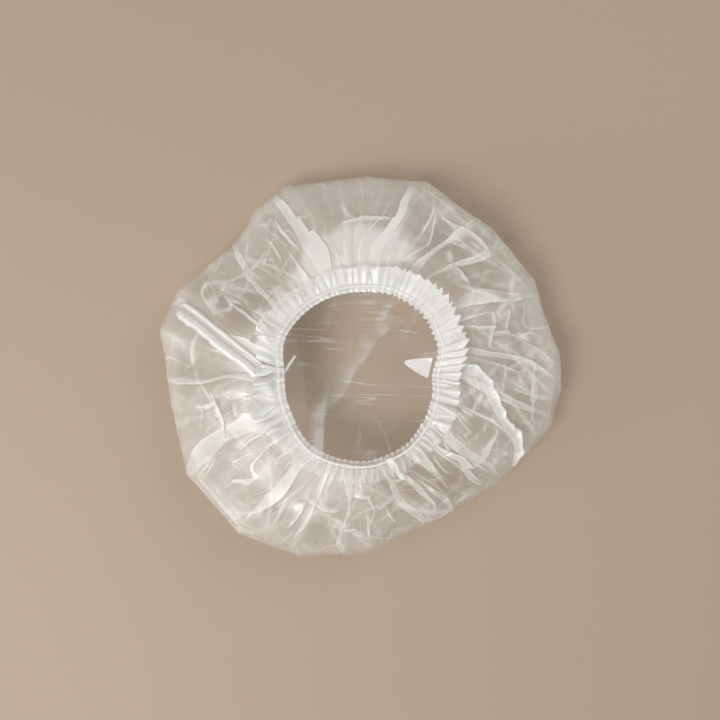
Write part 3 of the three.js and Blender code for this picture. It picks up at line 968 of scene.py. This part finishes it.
def hem_points(columns, rows):
    """The frilled hem: its section carried round the rim, with pleats as waves that fan out.

    The wave runs from a triangle to a round one; it lifts the film, leans it along the rim, and pushes out
    the frill's edge and the inner lip at each crest. Where pleats stray most, they merge two by two.
    """
    rng = np.random.default_rng(11)
    offset, rise, pleat, tooth = (along_rows(HEM_SECTION, key, rows)[:, None] for key in HEM_SECTION)
    count = np.arange(columns) / columns * HEM_PLEATS
    whole, part = np.floor(count).astype(int), count % 1

    def each(low, high):
        value = rng.uniform(low, high, HEM_PLEATS)
        return lerp(value[whole % HEM_PLEATS], value[(whole + 1) % HEM_PLEATS], part)[None]

    phi = count / HEM_PLEATS * TURN
    looks = {key: eased(HEM_LOOKS, key, phi)[None] for key in HEM_LOOKS}
    stray = looks["stray"]
    offset = np.where(offset > FRILL_FROM, FRILL_FROM + (offset - FRILL_FROM) * looks["wide"], offset)
    sharp, soft = 1 - 2 * np.abs(2 * part - 1)[None], 2 * np.sin(np.pi * part)[None] - 1
    paired = 2 * np.abs(np.sin(np.pi * count / 2))[None] - 1
    merged = 0.5 * smoothstep(stray, 0.9, 1.5)
    wave = lerp(lerp(sharp, soft, looks["round"]), paired, merged)
    scallop = lerp(soft, sharp, smoothstep(looks["lip"], 0.7, 1.3))
    outside = smoothstep(offset, 2.5, 14)
    fan = outside * each(-1, 1) * (0.25 + 0.55 * stray)
    phi = phi + (each(-0.3, 0.3) * (0.6 + stray) + fan) * TURN / HEM_PLEATS * 0.8
    depth = 1.5 * looks["deep"] * (1 + each(-0.5, 0.4) * (0.4 + stray)) * (1 + 0.5 * merged)
    lean = 0.55 * each(-0.2, 1.0) * pleat
    phi = phi + lean * depth * wave * MM / (HEM_RADIUS + offset * MM)
    points_out = 1.3 * looks["edge"] * np.maximum(tooth, 0) * (1 + each(-0.6, 0.6))
    points_in = 1.1 * looks["lip"] * np.minimum(tooth, 0) * (1 + each(-0.3, 0.3))
    edge = points_out * wave + points_in * scallop + 1.4 * outside * each(-1, 1) * (0.2 + stray)
    rough = rim_point(phi, offset * MM, HEM_HEIGHT + rise * MM)
    lumps = (waves(rng, rough, 20 * MM, 14) + 0.6 * np.sin(count * 1.7)) * (0.15 + stray**2) * outside
    steep = np.tan(np.radians(looks["tilt"] + 5 * waves(rng, rough, 50 * MM, 8)))
    up = rise + np.maximum(offset - 2, 0) * steep + depth * pleat * wave + 1.3 * lumps
    points = rim_point(phi, (offset + edge) * MM, HEM_HEIGHT + up * MM)
    # Painted highlight: the crests of the pleats are made milkier, as if they caught the light.
    ridge = smoothstep(wave, 0.5, 1.0) * pleat
    cord = smoothstep(np.abs(offset - CORD_OFFSET), 1.2, 0.2)
    cover = (looks["cover"] - 0.08 + 0.28 * ridge) * (1 - looks["fade"] * outside) + 0.16 * cord
    cover += smoothstep(offset, 0, -3.5) * 0.12 + 0.08 * waves(rng, rough, 12 * MM, 10)
    return points, {"cover": np.clip(cover, 0.12, 0.97)}


def elastic_points(columns, sides):
    """A round cord along the rim, drawn in a little at each stitch."""
    phi = np.arange(columns)[None] / columns * TURN
    turn = np.arange(sides)[:, None] / sides * TURN
    thick = (CORD_RADIUS + CORD_SWELL * np.abs(np.sin(phi * HEM_PLEATS))) * MM
    offset = CORD_OFFSET * MM + thick * np.cos(turn)
    return rim_point(phi, offset, ELASTIC_HEIGHT + thick * np.sin(turn))


def film_tops(cell):
    """A function of x and y for how high the crown's film is, by squares of a level grid."""
    mesh = bpy.data.objects["crown_film_sheet"].data
    place = np.empty(len(mesh.vertices) * 3, np.float32)
    mesh.vertices.foreach_get("co", place)
    x, y, z = place.reshape(-1, 3).T
    half = 160 * MM
    squares = int(2 * half / cell)
    tops = np.zeros((squares, squares))
    np.maximum.at(tops, (((x + half) / cell).astype(int), ((y + half) / cell).astype(int)), z)
    return lambda px, py: tops[((px + half) / cell).astype(int), ((py + half) / cell).astype(int)]


def spline(values, steps):
    """A smooth line through values, by a cubic with each point's slope from its neighbours."""
    at = np.linspace(0, len(values) - 1, steps)
    slope = np.gradient(values)
    low = np.minimum(at.astype(int), len(values) - 2)
    t = at - low
    start = values[low] * (2 * t**3 - 3 * t**2 + 1) + slope[low] * (t**3 - 2 * t**2 + t)
    return start + values[low + 1] * (3 * t**2 - 2 * t**3) + slope[low + 1] * (t**3 - t**2)


def closing(steps):
    """The share of its section that a tube keeps at each step: nearly none at its two ends."""
    share = np.ones(steps)
    share[[0, -1]] = CLOSED_END
    return share


def seam_points(line, section, steps, seed, wavy):
    """A welded seam: its section carried along a line that lies on the crown, narrower at both ends."""
    rng = np.random.default_rng(seed)
    x, y = (spline(line[key], steps) * MM for key in "xy")
    ahead = np.array((np.gradient(x), np.gradient(y)))
    ahead /= np.linalg.norm(ahead, axis=0)
    t = np.linspace(0, 1, steps)
    ends = smoothstep(t, 0, 0.08) * smoothstep(t, 1, 0.9)
    wobble = sum(size * np.sin(TURN * (t * (3 + 5 * k) + rng.random())) for k, size in enumerate(LOBES))
    wobble = wobble * wavy
    across = along_rows(section, "across", 3 * len(section["across"]))
    up = along_rows(section, "up", len(across))
    wide = (0.3 + 0.7 * ends) * (1 + 0.16 * wobble) * closing(steps)
    aside = across[:, None] * wide + 0.6 * wobble
    px = x - ahead[1] * aside * MM
    py = y + ahead[0] * aside * MM
    rests = np.pad(film_tops(2 * MM)(px, py).max(0), 40, mode="edge")
    rests = np.max([np.roll(rests, shift) for shift in range(-3, 4)], 0)
    rests = blur(rests[None], 60)[0, 40:-40]
    tall = up[:, None] * (0.2 + 0.8 * ends) * (1 + 0.25 * np.roll(wobble, 7)) * closing(steps)
    cover = lerp(0.4, 0.97, smoothstep(up, 0.5, 2.2))[:, None] * lerp(0.6, 1, ends)
    return np.array((px, py, rests + (tall - 0.3) * MM)), {"cover": cover}


def tab_points(tab, steps, sides):
    """A seam's end: a flat strip from under the hem's lip, with rounded edges and a curl at its tip."""
    angle, heading, length, width, thick, droop, slant, taper = (TABS[key][tab] for key in TABS)
    angle, heading = np.radians((angle, heading))
    inset = rim_radius(angle) - (0.35 + 0.35 * width) * MM
    root = np.array((*(RIM_MIDDLE + SHIFT + inset * np.array((np.cos(angle), np.sin(angle)))), TAB_HEIGHT))
    t = np.concatenate(((0, 0), np.linspace(0, 1, steps - 4), (1, 1)))
    turn = np.arange(sides)[:, None] / sides * TURN
    beside, above = (np.sign(wave) * np.abs(wave) ** BOXY for wave in (np.cos(turn), np.sin(turn)))
    across = beside * width / 2 * (1 - taper * t**1.5) * closing(steps)
    up = above * thick / 2 * closing(steps) * (1 - 0.2 * t)
    aside = across / max(width, 4)
    curl = 1.2 * np.sin(TURN * t * 0.6 + 0.4) * aside * 2 + 6 * aside**2
    reach = t * (length + slant * across)
    x = reach * np.cos(heading) - across * np.sin(heading)
    y = reach * np.sin(heading) + across * np.cos(heading)
    z = -up - thick / 2 - droop * t**2 + curl * (width > thick)
    return root[:, None, None] + np.array((x, y, z)) * MM


# --- materials --------------------------------------------------------------------------------------


class Value:
    """A shader socket that adds its own Math nodes when it is used in an expression."""

    def __init__(self, paint, socket):
        self.paint, self.socket = paint, socket

    def math(self, operation, *others, swap=False):
        values = (*others, self) if swap else (self, *others)
        return self.paint.node("ShaderNodeMath", {"operation": operation}, dict(enumerate(values)))

    def __add__(self, other):
        return self.math("ADD", other)

    def __mul__(self, other):
        return self.math("MULTIPLY", other)

    def __sub__(self, other):
        return self.math("SUBTRACT", other)

    def __rsub__(self, other):
        return self.math("SUBTRACT", other, swap=True)

    def clamp(self):
        return self.math("MINIMUM", 1.0).math("MAXIMUM", 0.0)


class Paint:
    """One material and its nodes."""

    def __init__(self, name):
        self.material = bpy.data.materials.new(name)
        self.material.use_nodes = True
        self.tree = self.material.node_tree
        self.shader = self.tree.nodes["Principled BSDF"]

    def node(self, kind, settings=None, inputs=None, output=0):
        made = self.tree.nodes.new(kind)
        for key, value in (settings or {}).items():
            setattr(made, key, value)
        for key, value in (inputs or {}).items():
            self.put(made.inputs[key], value)
        return Value(self, made.outputs[output])

    def put(self, socket, value):
        if isinstance(value, Value):
            self.tree.links.new(value.socket, socket)
        else:
            socket.default_value = value

    def place(self, kind):
        return self.node("ShaderNodeTexCoord", output=kind)

    def attribute(self, name):
        return self.node("ShaderNodeAttribute", {"attribute_name": name}, output="Fac")

    def stretched(self, place, *scales):
        return self.node("ShaderNodeVectorMath", {"operation": "MULTIPLY"}, {0: place, 1: scales})

    def noise(self, place, scale):
        return self.node("ShaderNodeTexNoise", inputs={"Vector": place, "Scale": scale, "Detail": 2.0})

    def bump(self, strength, distance, height):
        inputs = {"Strength": strength, "Distance": distance, "Height": height}
        return self.node("ShaderNodeBump", inputs=inputs)

    def finish(self, **sockets):
        """Sets the main shader's sockets, named with _ for each space."""
        for key, value in sockets.items():
            self.put(self.shader.inputs[key.replace("_", " ")], value)
        return self.material

    def see_through(self, cover, glow, share):
        """The main shader with a share of light let through in a colour, over what is behind.

        Cover is 1 where the film hides what is behind it, and 0 where it isn't seen.
        """
        through = self.node("ShaderNodeBsdfTranslucent", inputs={"Color": glow})
        main = Value(self, self.shader.outputs[0])
        solid = self.node("ShaderNodeMixShader", inputs={0: share, 1: main, 2: through})
        clear = self.node("ShaderNodeBsdfTransparent")
        mixed = self.node("ShaderNodeMixShader", inputs={0: cover, 1: clear, 2: solid})
        self.put(self.tree.nodes["Material Output"].inputs["Surface"], mixed)
        return self.material


def film_material(name):
    """Frosted film, as milky as its cover says, with thin creases: level on the floor, else along folds.

    The creases are where a long drawn-out noise crosses its middle value.
    """
    paint = Paint(name)
    place = paint.place("Object")
    along = paint.place("UV")
    cover, lying, creased = (paint.attribute(key) for key in ("cover", "lying", "crease"))
    level = paint.stretched(place, 5.0, 75.0, 0.0)
    folds = paint.stretched(along, 34.0, 16.0, 0.0)
    drawn = paint.node("ShaderNodeMix", {"data_type": "VECTOR"}, {0: lying, 4: folds, 5: level}, output=1)
    noise = paint.noise(drawn, 1.0)
    fine = paint.noise(place, 28.0)
    away = (noise - 0.5).math("ABSOLUTE")
    crease = paint.node(
        "ShaderNodeMapRange",
        {"interpolation_type": "SMOOTHSTEP"},
        {"Value": away, "From Min": 0.0, "From Max": 0.024, "To Min": 1.0, "To Max": 0.0},
    )
    crease = crease * ((fine - 0.45) * 6.0).clamp()
    height = (1 - lying) * (crease * 1.2 + noise * 0.25 + fine * 0.12 + creased)
    paint.finish(
        Base_Color=(0.88, 0.87, 0.84, 1.0),
        Roughness=0.38,
        IOR=1.7,
        Coat_Weight=0.75,
        Coat_Roughness=0.24,
        Normal=paint.bump(0.4, 0.0012, height),
    )
    return paint.see_through((cover + crease * 0.55).clamp(), (0.9, 0.89, 0.86, 1.0), 0.4)


def gathered_material(name, cover, across, along):
    """Doubled, gathered film: white, with fine creases along each pleat. The mesh may give its cover."""
    paint = Paint(name)
    stretched = paint.stretched(paint.place("UV"), across, along, 1.0)
    if cover is None:
        cover = paint.attribute("cover")
    creases = paint.noise(stretched, 1.0)
    paint.finish(
        Base_Color=(0.94, 0.94, 0.93, 1.0),
        Roughness=0.3,
        IOR=1.7,
        Coat_Weight=0.6,
        Coat_Roughness=0.16,
        Normal=paint.bump(0.25, 0.0005, creases),
    )
    return paint.see_through((creases * 0.2 - 0.1 + cover).clamp(), (0.92, 0.91, 0.89, 1.0), 0.45)


def elastic_material(name):
    """Thread-covered elastic: off-white, with the turns of its covering thread."""
    paint = Paint(name)
    stretched = paint.stretched(paint.place("UV"), 900.0, 6.0, 1.0)
    thread = paint.node("ShaderNodeTexWave", {"wave_profile": "SIN"}, {"Vector": stretched, "Scale": 0.5})
    bump = paint.bump(0.5, 0.0002, thread)
    return paint.finish(Base_Color=(0.86, 0.85, 0.82, 1.0), Roughness=0.7, Normal=bump)


# --- sizes a user would change ----------------------------------------------------------------------


class CapSizes(bpy.types.PropertyGroup):
    film_columns: IntProperty(
        name="Film columns",
        description="Grid columns round the crown",
        default=864,
        min=120,
    )
    film_steps: IntProperty(
        name="Film steps",
        description="Steps that relax the film",
        default=160,
        min=0,
    )
    cut_width: FloatProperty(
        name="Cut width",
        description="Diameter of the round of film",
        default=0.49,
        unit="LENGTH",
    )


class CapFinish(bpy.types.PropertyGroup):
    floor_color: FloatVectorProperty(
        name="Floor",
        description="Colour of the plain floor",
        default=(0.365, 0.278, 0.203),
        subtype="COLOR",
        size=3,
    )


# --- operators --------------------------------------------------------------------------------------

# The stage, in metres: the floor is just under the cap, and each softbox has its place, width and watts.
FLOOR_HALF = 4.0
FLOOR_GAP = 0.0004
SOFTBOXES = (
    ("Key softbox", (-0.8, -0.7, 1.65), 0.8, 26),
    ("Fill softbox", (1.0, 0.9, 1.3), 1.2, 12),
    ("Low side light", (-1.3, -0.5, 0.6), 0.5, 6),
)
CAMERA_ELEVATION = np.radians(89)
CAMERA_DISTANCE = 0.748
CAMERA_AIM = 0.004  # along y, at the floor


def facing_the_middle(place):
    """The turns that point a lamp at the origin."""
    x, y, z = place
    return (np.arctan2(np.hypot(x, y), z), 0, np.arctan2(y, x) + np.pi / 2)


class CAP_OT_crown_film(bpy.types.Operator):
    """Lay and relax the round of film that makes the crown"""

    bl_idname = "cap.crown_film"
    bl_label = "Crown Film"

    def execute(self, context):
        sizes = context.scene.cap_sizes
        steps = sizes.film_steps
        points, arc, looks = crown_points(sizes.film_columns, steps)
        columns = points.shape[2]
        uv = (arc, np.arange(columns + 1) / columns)
        piece = surface("crown_film_sheet", points, uv=uv, values=looks, poles=range(columns))
        finish_piece(piece, film_material("Frosted film"), "film", *CROWN_BANDS)
        return {"FINISHED"}


class CAP_OT_frilled_hem(bpy.types.Operator):
    """Gather the doubled hem into a frill round the elastic"""

    bl_idname = "cap.frilled_hem"
    bl_label = "Frilled Hem"

    def execute(self, context):
        columns = 16 * HEM_PLEATS
        points, looks = hem_points(columns, HEM_ROWS)
        uv = (np.linspace(0, 1, HEM_ROWS), np.arange(columns + 1) / columns)
        piece = surface("frilled_hem_sheet", points, uv=uv, values=looks)
        material = gathered_material("Gathered film", None, 700.0, 6.0)
        finish_piece(piece, material, "gathered_film", "frilled_hem")
        return {"FINISHED"}


class CAP_OT_elastic(bpy.types.Operator):
    """Run the thread-covered elastic through the hem"""

    bl_idname = "cap.elastic"
    bl_label = "Elastic"

    def execute(self, context):
        columns = 8 * HEM_PLEATS
        points = elastic_points(columns, ELASTIC_SIDES)
        uv = (np.linspace(0, 1, ELASTIC_SIDES + 1), np.arange(columns + 1) / columns)
        piece = surface("elastic_ring", points, close_across=True, uv=uv)
        finish_piece(piece, elastic_material("Elastic thread"), "elastic", "rim_elastic")
        return {"FINISHED"}


class CAP_OT_side_seams(bpy.types.Operator):
    """Lay the two welded side seams on the crown"""

    bl_idname = "cap.side_seams"
    bl_label = "Side Seams"

    def execute(self, context):
        material = gathered_material("Welded seam", None, 5.0, 60.0)
        for side, line, section, seed, wavy in (
            ("right", SEAM_RIGHT, SECTION_RIGHT, 3, 1.0),
            ("left", SEAM_LEFT, SECTION_LEFT, 4, 0.3),
        ):
            points, looks = seam_points(line, section, SEAM_STEPS, seed, wavy)
            piece = tube(f"side_seam_{side}_ridge", points, looks)
            finish_piece(piece, material, "gathered_film", f"side_seam_{side}")
        return {"FINISHED"}


class CAP_OT_seam_tabs(bpy.types.Operator):
    """Stand the seams' ends into the opening"""

    bl_idname = "cap.seam_tabs"
    bl_label = "Seam Tabs"

    def execute(self, context):
        material = gathered_material("Seam end", 0.82, 6.0, 9.0)
        for tab, side in enumerate(("right", "left")):
            piece = tube(f"seam_tab_{side}_strip", tab_points(tab, TAB_STEPS, TAB_SIDES))
            finish_piece(piece, material, "gathered_film", f"seam_tab_{side}")
        return {"FINISHED"}


class CAP_OT_stage(bpy.types.Operator):
    """Set the plain floor, soft light and the camera over the opening"""

    bl_idname = "cap.stage"
    bl_label = "Floor, Light and Camera"

    def execute(self, context):
        scene = context.scene
        x, y = np.meshgrid((-FLOOR_HALF, FLOOR_HALF), (-FLOOR_HALF, FLOOR_HALF))
        floor = surface("floor", np.array((x, y, 0 * x - FLOOR_GAP)), close_around=False)
        color = (*scene.cap_finish.floor_color, 1.0)
        floor.data.materials.append(Paint("Plain floor").finish(Base_Color=color, Roughness=0.7))
        for name, place, width, watts in SOFTBOXES:
            light = bpy.data.lights.new(name, "AREA")
            light.energy, light.size = watts, width
            lamp = bpy.data.objects.new(name, light)
            lamp.location = place
            lamp.rotation_euler = facing_the_middle(place)
            scene.collection.objects.link(lamp)
        scene.world = bpy.data.worlds.new("Studio")
        scene.world.use_nodes = True
        background = scene.world.node_tree.nodes["Background"]
        background.inputs["Color"].default_value = (1, 1, 1, 1)
        background.inputs["Strength"].default_value = 0.35
        camera = bpy.data.objects.new("Camera", bpy.data.cameras.new("Camera"))
        camera.data.lens = 50
        away = CAMERA_DISTANCE * np.cos(CAMERA_ELEVATION)
        camera.location = (0, CAMERA_AIM - away, CAMERA_DISTANCE * np.sin(CAMERA_ELEVATION))
        camera.rotation_euler = (np.pi / 2 - CAMERA_ELEVATION, 0, 0)
        scene.collection.objects.link(camera)
        scene.camera = camera
        scene.view_settings.view_transform = "Standard"
        return {"FINISHED"}


STEPS = (
    CAP_OT_crown_film,
    CAP_OT_frilled_hem,
    CAP_OT_elastic,
    CAP_OT_side_seams,
    CAP_OT_seam_tabs,
    CAP_OT_stage,
)


class CAP_PT_panel(bpy.types.Panel):
    bl_label = "Shower Cap"
    bl_idname = "CAP_PT_panel"
    bl_space_type = "VIEW_3D"
    bl_region_type = "UI"
    bl_category = "Shower Cap"

    def draw(self, context):
        for group in (context.scene.cap_sizes, context.scene.cap_finish):
            for key in type(group).__annotations__:
                self.layout.prop(group, key)
        for step in STEPS:
            self.layout.operator(step.bl_idname)


CLASSES = (CapSizes, CapFinish, *STEPS, CAP_PT_panel)


def register():
    for cls in CLASSES:
        bpy.utils.register_class(cls)
    bpy.types.Scene.cap_sizes = PointerProperty(type=CapSizes)
    bpy.types.Scene.cap_finish = PointerProperty(type=CapFinish)


def unregister():
    del bpy.types.Scene.cap_sizes
    del bpy.types.Scene.cap_finish
    for cls in reversed(CLASSES):
        bpy.utils.unregister_class(cls)


def main():
    register()
    for step in STEPS:
        area, name = step.bl_idname.split(".")
        getattr(getattr(bpy.ops, area), name)()
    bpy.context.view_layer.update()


if __name__ == "__main__":
    main()
